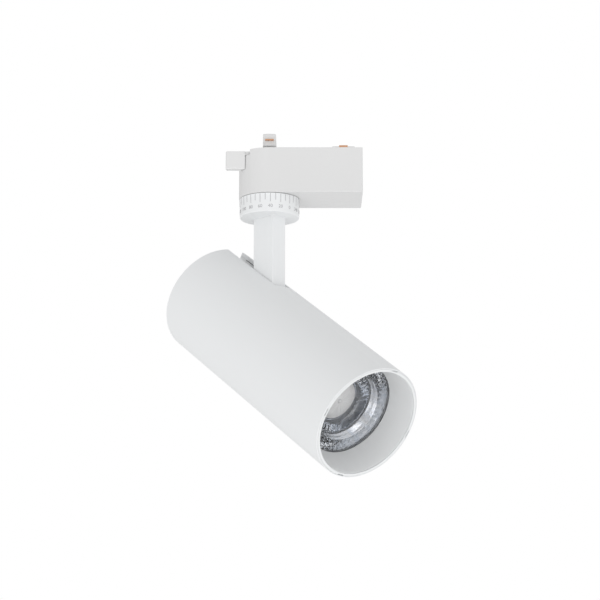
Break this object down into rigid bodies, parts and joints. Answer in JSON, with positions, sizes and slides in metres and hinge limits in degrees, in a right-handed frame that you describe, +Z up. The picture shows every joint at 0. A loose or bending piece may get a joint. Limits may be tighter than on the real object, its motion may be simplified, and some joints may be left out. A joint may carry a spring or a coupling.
{
  "type": "track spotlight",
  "caption": "Cylindrical track spotlight: track adapter with turning latch, graduated swivel dial, rectangular stem, and a slotted tube head that tilts, with a recessed lens.",
  "frame": {"origin": "centre of the swivel and latch axis on the adapter's top face, where it meets the track", "axes": "+Z up, X along the track towards the adapter's square end, -Y towards the side that the head faces at rest"},
  "size_m": [0.1715, 0.1779, 0.2475],
  "materials": {
    "white_plastic": "fine matt moulded polycarbonate",
    "white_metal": "smooth matt white powder coat",
    "white_rim": "satin white powder coat",
    "bare_aluminium": "extruded, lightly anodised",
    "steel": "zinc plated",
    "copper": "sprung copper alloy",
    "brass_bush": "turned brass",
    "circuit_board": "solder-masked board",
    "dark_plastic": "black nylon",
    "ferrite": "sintered ferrite",
    "coil_tape": "yellow polyester tape",
    "lead_insulation": "silicone sleeved wire",
    "grommet_rubber": "soft black rubber",
    "led_substrate": "white masked metal-core board",
    "phosphor": "silicone with yellow phosphor",
    "mirror_coat": "vacuum metallised facets",
    "lens_clear": "clear moulded acrylic"
  },
  "bodies": {
    "adapter": {"adapter_housing": "white_plastic", "adapter_cover": "white_plastic", "cover_screws": "steel", "guide_block": "white_plastic", "ground_contact": "copper", "contact_plate": "circuit_board", "driver_board": "circuit_board", "board_screws": "steel", "transformer_core": "ferrite", "transformer_coil": "coil_tape", "driver_capacitors": "dark_plastic", "terminal_block": "dark_plastic", "supply_leads": "lead_insulation", "output_leads": "lead_insulation", "swivel_bush": "brass_bush", "thrust_washer": "dark_plastic", "stop_pin": "steel"},
    "latch": {"lock_lever": "white_plastic", "lock_rotor": "white_plastic", "contact_blades": "copper", "rotor_clip": "steel"},
    "swivel": {"dial": "white_plastic", "dial_screws": "steel", "swivel_spigot": "steel", "swivel_nut": "steel", "wave_washer": "steel", "stem": "white_metal", "stem_leads": "lead_insulation"},
    "head": {"head_tube": "white_metal", "rear_cap": "white_metal", "rear_cap_screws": "steel", "tube_grub_screws": "steel", "tie_posts": "steel", "pivot_bracket": "bare_aluminium", "bracket_screws": "steel", "pivot_bolt": "steel", "pivot_nut": "steel", "friction_washers": "dark_plastic", "cable_grommet": "grommet_rubber", "head_leads": "lead_insulation", "heat_sink": "bare_aluminium", "led_board": "led_substrate", "led_emitter": "phosphor", "led_holder": "white_plastic", "holder_screws": "steel", "optic_housing": "white_plastic", "reflector": "mirror_coat", "optic_lens": "lens_clear", "anti_glare_cone": "white_metal", "front_bezel": "white_rim"}
  },
  "joints": [
    {"name": "latch_turn", "type": "hinge", "parent": "adapter", "child": "latch", "pos_m": [0, 0, 0], "axis": [0, 0, 1], "range_deg": [-90, 0]},
    {"name": "pan_swivel", "type": "hinge", "parent": "adapter", "child": "swivel", "pos_m": [0, 0, -0.039], "axis": [0, 0, 1], "range_deg": [-170, 170]},
    {"name": "head_tilt", "type": "hinge", "parent": "swivel", "child": "head", "pos_m": [0, 0, -0.09833], "axis": [0.7361, 0.6769, 0], "range_deg": [-34.7, 55.3]}
  ]
}
